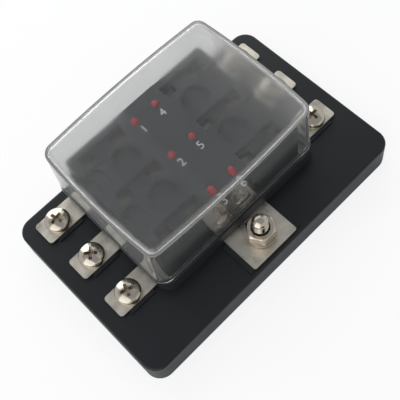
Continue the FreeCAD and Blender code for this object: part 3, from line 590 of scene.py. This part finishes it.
def bowed_ring(half_x, low_y, high_y, corner, bow, shrink, z):
    """A closed ring of points: four sides that bow outward and four tangent corner arcs."""
    half_y, middle = (high_y - low_y) / 2, (high_y + low_y) / 2
    end_radius = (half_y ** 2 + bow ** 2) / (2 * bow)
    long_radius = (half_x ** 2 + bow ** 2) / (2 * bow)
    back_x, back_y = end_radius - half_x - bow, long_radius - half_y - bow
    span = math.hypot(back_x, back_y)
    near, far = end_radius - corner, long_radius - corner
    along = (near ** 2 - far ** 2 + span ** 2) / (2 * span)
    off = math.sqrt(near ** 2 - along ** 2)
    x = -back_x + (back_x * along + back_y * off) / span
    y = (-back_y * along + back_x * off) / span
    low, high, turn = math.atan2(y, x + back_x), math.atan2(y + back_y, x), math.pi
    arcs = [(-back_x, 0, end_radius, -low, low, SIDE_STEPS), (x, y, corner, low, high, CORNER_STEPS),
            (0, -back_y, long_radius, high, turn - high, SIDE_STEPS),
            (-x, y, corner, turn - high, turn - low, CORNER_STEPS),
            (back_x, 0, end_radius, turn - low, turn + low, SIDE_STEPS),
            (-x, -y, corner, turn + low, turn + high, CORNER_STEPS),
            (0, back_y, long_radius, turn + high, 2 * turn - high, SIDE_STEPS),
            (x, -y, corner, 2 * turn - high, 2 * turn - low, CORNER_STEPS)]
    ring = []
    for x, y, radius, start, end, steps in arcs:
        for step in range(steps):
            angle = start + (end - start) * step / steps
            reach = radius - shrink
            ring.append(Vector((x + reach * math.cos(angle), middle + y + reach * math.sin(angle), z)))
    return ring


def wall_ring(inset, bow, shrink, z):
    """The ring of the cover's wall, drawn in by an inset."""
    c = COVER_MM
    inward = c["bead"] + inset
    return bowed_ring(c["half_x"] - inward, c["low_y"] + inward, c["high_y"] - inward,
                      c["corner"] - inward, bow, shrink, z)


def rounded_edge(inset, top, radius):
    """The rings up a wall's round top edge and in to the flat roof."""
    rings = []
    for step in range(EDGE_STEPS + 1):
        angle = math.pi / 2 * step / EDGE_STEPS
        rings.append(wall_ring(inset + COVER_MM["draft"], COVER_MM["bow"], radius * (1 - math.cos(angle)),
                               top - radius * (1 - math.sin(angle))))
    rings.append(wall_ring(inset + COVER_MM["draft"] + radius / 3, COVER_MM["bow"], radius, top))
    return rings


def leaning_wall(inset, low, edge_rings):
    """The rings of a wall from its foot to its round top edge, close together at both ends."""
    foot = wall_ring(inset, RIM_BOW, 0, low)
    between = [[a.lerp(b, step) for a, b in zip(foot, edge_rings[0])] for step in WALL_STEPS]
    return [foot] + between + edge_rings


def lofted(name, rings):
    """A closed mesh of equal rings joined in order, with its first and last ring filled."""
    count = len(rings[0])
    points = [point * MM for ring in rings for point in ring]
    faces = [tuple(range(count))[::-1], tuple(range(count * (len(rings) - 1), count * len(rings)))]
    for level in range(len(rings) - 1):
        first = level * count
        for i in range(count):
            j = (i + 1) % count
            faces.append((first + i, first + j, first + count + j, first + count + i))
    mesh = bpy.data.meshes.new(name)
    mesh.from_pydata(points, [], faces)
    return mesh


def rim_rings():
    """The rings from the lip's inside, down round the rim and up over its bead to the wall."""
    c, round_off, soft = COVER_MM, SOFT_RIM, SOFT_RIM_MIDDLE
    bead_top, lip_low = c["rim"] + c["bead_height"], c["rim"] - SEAT_CLEARANCE - c["lip_depth"]
    inside = [(LIP_IN_MM, 0.0, bead_top), (LIP_IN_MM, 0.0, lip_low + round_off),
              (LIP_IN_MM, -round_off, lip_low), (LIP_OUT_MM, round_off, lip_low),
              (LIP_OUT_MM, 0.0, lip_low + round_off), (LIP_OUT_MM, 0.0, c["rim"])]
    bead = {key: c[key] for key in ("half_x", "low_y", "high_y", "corner")}
    outside = [(bead, round_off, c["rim"]), (bead, soft, c["rim"] + soft),
               (bead, 0.0, c["rim"] + round_off), (bead, 0.0, bead_top - round_off),
               (bead, soft, bead_top - soft), (bead, round_off, bead_top)]
    rings = []
    for form, inset, z in inside + outside:
        rings.append(bowed_ring(form["half_x"] - inset, form["low_y"] + inset, form["high_y"] - inset,
                                form["corner"] - inset, RIM_BOW, 0, z))
    return rings


wall, edge, top = COVER_MM["wall"], COVER_MM["edge"], COVER_MM["top"]
bead_top = COVER_MM["rim"] + COVER_MM["bead_height"]
inner = leaning_wall(wall, bead_top, rounded_edge(wall, top - COVER_MM["roof"], edge - wall))
outer = leaning_wall(0, bead_top, rounded_edge(0, top, edge))
cover_mesh = lofted("clear_cover_shell", inner[::-1] + rim_rings() + outer)
shell = new_object("clear_cover_shell", cover_mesh)
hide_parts("cover")
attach(shell, "cover")

RIB_MM = [(-5.1, 5.1), (-21.4, -19.75), (25.5, 28.2)]
RIB_FACES = [(0, 1, 3, 2), (4, 6, 7, 5), (0, 4, 5, 1), (2, 3, 7, 6), (0, 2, 6, 4), (1, 5, 7, 3)]

rib_points = [Vector((x, y, z)) * MM for x in RIB_MM[0] for y in RIB_MM[1] for z in RIB_MM[2]]
rib_mesh = bpy.data.meshes.new("grip_rib")
rib_mesh.from_pydata(rib_points, [], RIB_FACES)
shell = boolean(shell, new_object("grip_rib", rib_mesh), "UNION")

# The cover's resin: clear at the walls, with a frosted roof that has a clear band
# over the lamps, a cloud toward +X where the resin flowed last, and haze that grows
# where the eye looks along the shell. The round edge throws light aside, so it is painted dark as shade.

FROSTED = 0.23
POLISHED = 0.05
WALL_ROUGHNESS = 0.03
CLEAR_BAND_MM = (-7.8, 9.8)
BAND_EDGE_MM = 2.5
FROST_PATCH_MM = 7
FROST_PATCHES = (0.8, 1.2)
HAZE_DEPTH_MM = (2.6, 0.1)
OFF_WALL = (0.06, 0.2)
OFF_ROOF = (0.97, 0.85)
WALL_MILK = 0.013
ROOF_MILK = 0.056
BEND_MILK = 0.12
FLOW_MILK = 0.26
FLOW_FROM_MM = (14.0, 44.0)
FLOW_WAVE_MM = 16
FLOW_WANDER_MM = 7.0
SLANT_REACH = 1.06
SLANT_POWER = 1.6
LIGHT_THROUGH = 0.75
BEND_FACING = (0.45, 0.8)
BEND_PAINTED_SHADE = 0.75
SHADOW_TINT = (0.86, 0.87, 0.88, 1.0)

cover_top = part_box("cover")[1].z / MM
cover_clear, tree, out = new_material("clear_polycarbonate")
place = add(tree, "ShaderNodeSeparateXYZ", Vector=in_mm(tree))
on_top = add(tree, "ShaderNodeMapRange", Value=place.outputs["Z"], From_Min=cover_top - HAZE_DEPTH_MM[0],
             From_Max=cover_top - HAZE_DEPTH_MM[1])
slant = add(tree, "ShaderNodeLayerWeight", Blend=0.5)
times, less = {"operation": "MULTIPLY"}, {"operation": "SUBTRACT"}

# The finish: polished walls and band, and a roof frosted in soft patches.
off_middle = add(tree, "ShaderNodeMath", less, _0=place.outputs["X"], _1=sum(CLEAR_BAND_MM) / 2)
off_middle = add(tree, "ShaderNodeMath", {"operation": "ABSOLUTE"}, _0=off_middle.outputs[0])
band_half = (CLEAR_BAND_MM[1] - CLEAR_BAND_MM[0]) / 2
finish = add(tree, "ShaderNodeMapRange", Value=off_middle.outputs[0], From_Min=band_half - BAND_EDGE_MM,
             From_Max=band_half + BAND_EDGE_MM, To_Min=POLISHED, To_Max=FROSTED)
frost = add(tree, "ShaderNodeMapRange", Value=on_top.outputs["Result"], To_Min=WALL_ROUGHNESS,
            To_Max=finish.outputs["Result"])
blast = add(tree, "ShaderNodeTexNoise", Vector=in_mm(tree), Scale=1 / FROST_PATCH_MM, Detail=4.0)
patchy = add(tree, "ShaderNodeMapRange", Value=blast.outputs["Fac"], To_Min=FROST_PATCHES[0],
             To_Max=FROST_PATCHES[1])
rough = add(tree, "ShaderNodeMath", times, _0=frost.outputs["Result"], _1=patchy.outputs["Result"])

# The bend between wall and roof, told by how far its face leans.
upright = add(tree, "ShaderNodeSeparateXYZ", Vector=add(tree, "ShaderNodeTexCoord").outputs["Normal"])
upright = add(tree, "ShaderNodeMath", {"operation": "ABSOLUTE"}, _0=upright.outputs["Z"])
off_wall = add(tree, "ShaderNodeMapRange", Value=upright.outputs[0], From_Min=OFF_WALL[0],
               From_Max=OFF_WALL[1])
off_roof = add(tree, "ShaderNodeMapRange", Value=upright.outputs[0], From_Min=OFF_ROOF[0],
               From_Max=OFF_ROOF[1])
bend = add(tree, "ShaderNodeMath", times, _0=off_wall.outputs["Result"], _1=off_roof.outputs["Result"])

# The haze: least in the walls, more in the bend and toward the roof's +X end, where
# the cloud's edge wanders, and most where the eye looks along the shell.
waves = add(tree, "ShaderNodeTexNoise", Vector=in_mm(tree), Scale=1 / FLOW_WAVE_MM, Detail=2.0)
wander = add(tree, "ShaderNodeMapRange", Value=waves.outputs["Fac"], To_Min=-FLOW_WANDER_MM,
             To_Max=FLOW_WANDER_MM)
flow = add(tree, "ShaderNodeMath", {"operation": "ADD"}, _0=place.outputs["X"],
           _1=wander.outputs["Result"])
cloudy = add(tree, "ShaderNodeMapRange", {"interpolation_type": "SMOOTHSTEP"}, Value=flow.outputs[0],
             From_Min=FLOW_FROM_MM[0], From_Max=FLOW_FROM_MM[1], To_Min=ROOF_MILK, To_Max=FLOW_MILK)
milk = add(tree, "ShaderNodeMapRange", Value=on_top.outputs["Result"], To_Min=WALL_MILK,
           To_Max=cloudy.outputs["Result"])
milk = add(tree, "ShaderNodeMath", {"operation": "MULTIPLY_ADD"}, _0=bend.outputs[0], _1=BEND_MILK,
           _2=milk.outputs["Result"])
square_on = add(tree, "ShaderNodeMath", less, _0=SLANT_REACH, _1=slant.outputs["Facing"])
square_on = add(tree, "ShaderNodeMath", {"operation": "POWER"}, _0=square_on.outputs[0], _1=SLANT_POWER)
milk = add(tree, "ShaderNodeMath", {"operation": "DIVIDE", "use_clamp": True}, _0=milk.outputs[0],
           _1=square_on.outputs[0])

# The shell: glass under haze, with painted shade where the bend is steep, and tinted for shadows.
glass = add(tree, "ShaderNodeBsdfPrincipled", Base_Color=linear("#eeefee"), IOR=1.585,
            Transmission_Weight=1.0, Roughness=rough.outputs[0])
front = add(tree, "ShaderNodeBsdfDiffuse", Color=linear("#efeeea"))
back = add(tree, "ShaderNodeBsdfTranslucent", Color=linear("#f5f4f1"))
haze = add(tree, "ShaderNodeMixShader", _0=LIGHT_THROUGH, _1=front.outputs[0], _2=back.outputs[0])
hazed = add(tree, "ShaderNodeMixShader", _0=milk.outputs[0], _1=glass.outputs[0], _2=haze.outputs[0])
steep = add(tree, "ShaderNodeMapRange", Value=slant.outputs["Facing"], From_Min=BEND_FACING[0],
            From_Max=BEND_FACING[1], To_Max=BEND_PAINTED_SHADE)
bend_shade_share = add(tree, "ShaderNodeMath", times, _0=bend.outputs[0], _1=steep.outputs["Result"])
# Painted shade: a dark grey diffuse mixed into the shell where the round edge is steep.
painted_bend_shade = add(tree, "ShaderNodeBsdfDiffuse", Color=linear("#3a3d42"))
hazed = add(tree, "ShaderNodeMixShader", _0=bend_shade_share.outputs[0], _1=hazed.outputs[0], _2=painted_bend_shade.outputs[0])
tinted = add(tree, "ShaderNodeBsdfTransparent", Color=SHADOW_TINT)
shadow = add(tree, "ShaderNodeLightPath").outputs["Is Shadow Ray"]
both = add(tree, "ShaderNodeMixShader", _0=shadow, _1=hazed.outputs[0], _2=tinted.outputs[0])
tree.links.new(both.outputs[0], out.inputs["Surface"])
shell.data.shade_smooth()
shell.data.set_sharp_from_angle(angle=COVER_SHARP_ANGLE)
shell.data.materials.clear()
shell.data.materials.append(cover_clear)

# The stage: a white table that keeps the object's shadow and lets a view from
# below through, under a dim grey ceiling. A black card by the camera gives the
# plated parts something dark to mirror.

TABLE_SIZE = 3.0
SHADOW_DEPTH = 0.25  # how much of the paper's own light and shadow shows in the glow
TABLE_GLOW = 1.08
CEILING_PLACE = (0.1, 0.2, 0.9)
CEILING_SIZE = 1.7
CEILING_GLOW = 0.38
CARD_PLACE = (-0.13, -0.5, 0.13)
CARD_SIZE = 0.3
PURE_WHITE = (1.0, 1.0, 1.0, 1.0)


def panel(name, size, place, facing, material):
    """A flat square of the stage that faces a point."""
    turn = (Vector(facing) - Vector(place)).to_track_quat("Z", "Y").to_matrix().to_4x4()
    half = size / 2
    mesh = bpy.data.meshes.new(name)
    square = [(-half, -half, 0), (half, -half, 0), (half, half, 0), (-half, half, 0)]
    mesh.from_pydata(square, [], [(0, 1, 2, 3)])
    mesh.transform(Matrix.Translation(place) @ turn)
    mesh.materials.append(material)
    made = new_object(name, mesh)
    return made


# The camera sees the table glow, straight and through the cover. To all else it is
# plain white paper, and from below it isn't there.
table_white, tree, out = new_material("white_table")
paper = add(tree, "ShaderNodeBsdfDiffuse", Color=linear("#f2f2f2"))
glow = add(tree, "ShaderNodeEmission", Color=PURE_WHITE, Strength=TABLE_GLOW)
shown = add(tree, "ShaderNodeMixShader", _0=SHADOW_DEPTH, _1=glow.outputs[0], _2=paper.outputs[0])
from_below = add(tree, "ShaderNodeNewGeometry").outputs["Backfacing"]
nothing = add(tree, "ShaderNodeBsdfTransparent")
open_below = add(tree, "ShaderNodeMixShader", _0=from_below, _1=shown.outputs[0],
                 _2=nothing.outputs[0])
path = add(tree, "ShaderNodeLightPath")
seen = add(tree, "ShaderNodeMath", {"operation": "MAXIMUM"}, _0=path.outputs["Is Camera Ray"],
           _1=path.outputs["Is Transmission Ray"])
table = add(tree, "ShaderNodeMixShader", _0=seen.outputs[0], _1=paper.outputs[0],
            _2=open_below.outputs[0])
tree.links.new(table.outputs[0], out.inputs["Surface"])
panel("table_top", TABLE_SIZE, (0, 0, 0), (0, 0, 1), table_white)

ceiling_grey, tree, out = new_material("grey_ceiling")
glow = add(tree, "ShaderNodeEmission", Color=linear("#f6f8ff"), Strength=CEILING_GLOW)
tree.links.new(glow.outputs[0], out.inputs["Surface"])
ceiling = panel("ceiling", CEILING_SIZE, CEILING_PLACE, (*CEILING_PLACE[:2], 0), ceiling_grey)
ceiling.visible_camera = False

card_black, tree, out = new_material("black_card")
felt = add(tree, "ShaderNodeBsdfDiffuse", Color=linear("#1a1210"))
tree.links.new(felt.outputs[0], out.inputs["Surface"])
card = panel("black_card", CARD_SIZE, CARD_PLACE, (0, 0, 0), card_black)
card.visible_camera = False

# The room and its lamps: the camera sees plain white, what shines through the cover
# darkens upward from the horizon, and the rest is lit by a soft grey room with a
# large soft lamp behind the block and a smaller one on its left.

HORIZON = (0.02, 0.2)
ROOM_THROUGH_GLASS = 0.12
ROOM_LIGHT = 0.7
LAMPS = [("softbox_back", (0.25, 0.75, 0.3), 1.0, 5.0), ("softbox_left", (-0.6, -0.15, 0.55), 0.8, 2.0)]

world = bpy.data.worlds.new("white_room")
world.use_nodes = True
tree = world.node_tree
tree.nodes.clear()
dim = add(tree, "ShaderNodeBackground", Color=linear("#eef0f2"), Strength=ROOM_LIGHT)
toward = add(tree, "ShaderNodeSeparateXYZ", Vector=add(tree, "ShaderNodeTexCoord").outputs["Generated"])
drop = add(tree, "ShaderNodeMapRange", Value=toward.outputs["Z"], From_Min=HORIZON[0],
           From_Max=HORIZON[1], To_Min=1.0, To_Max=ROOM_THROUGH_GLASS)
through = add(tree, "ShaderNodeBackground", Color=linear("#f4f6fa"), Strength=drop.outputs["Result"])
white = add(tree, "ShaderNodeBackground", Color=PURE_WHITE, Strength=1.0)
path = add(tree, "ShaderNodeLightPath")
glassy = add(tree, "ShaderNodeMixShader", _0=path.outputs["Is Transmission Ray"], _1=dim.outputs[0],
             _2=through.outputs[0])
shown = add(tree, "ShaderNodeMixShader", _0=path.outputs["Is Camera Ray"], _1=glassy.outputs[0],
            _2=white.outputs[0])
add(tree, "ShaderNodeOutputWorld", Surface=shown.outputs[0])
bpy.context.scene.world = world

for name, place, size, power in LAMPS:
    lamp = bpy.data.lights.new(name, "AREA")
    lamp.shape = "SQUARE"
    lamp.size = size
    lamp.energy = power
    box = new_object(name, lamp)
    box.location = place
    box.rotation_euler = (-Vector(place)).to_track_quat("-Z", "Y").to_euler()

# The camera: where the photograph was taken from, high over the block's near
# corner, with the picture rolled and its middle set a little low.

CAMERA_PLACE_MM = Vector((-72.07, -114.50, 294.68))
CAMERA_TURN = math.radians(57.154)
CAMERA_TILT = math.radians(61.901)
CAMERA_ROLL = math.radians(12.847)
CAMERA_LENS = 73.85
CAMERA_SHIFT = -0.125
CAMERA_NEAR = 0.01

level = math.cos(CAMERA_TILT)
forward = Vector((level * math.cos(CAMERA_TURN), level * math.sin(CAMERA_TURN), -math.sin(CAMERA_TILT)))
right = forward.cross(Vector((0, 0, 1))).normalized()
down = forward.cross(right)
across = right * math.cos(CAMERA_ROLL) + down * math.sin(CAMERA_ROLL)
below = down * math.cos(CAMERA_ROLL) - right * math.sin(CAMERA_ROLL)
view = bpy.data.cameras.new("photograph")
view.lens = CAMERA_LENS
view.shift_y = CAMERA_SHIFT
view.clip_start = CAMERA_NEAR
camera = new_object("photograph", view)
turned = Matrix((across, -below, -forward)).transposed().to_4x4()
camera.matrix_world = Matrix.Translation(CAMERA_PLACE_MM * MM) @ turned
bpy.context.scene.camera = camera
bpy.context.scene.view_settings.view_transform = "Standard"
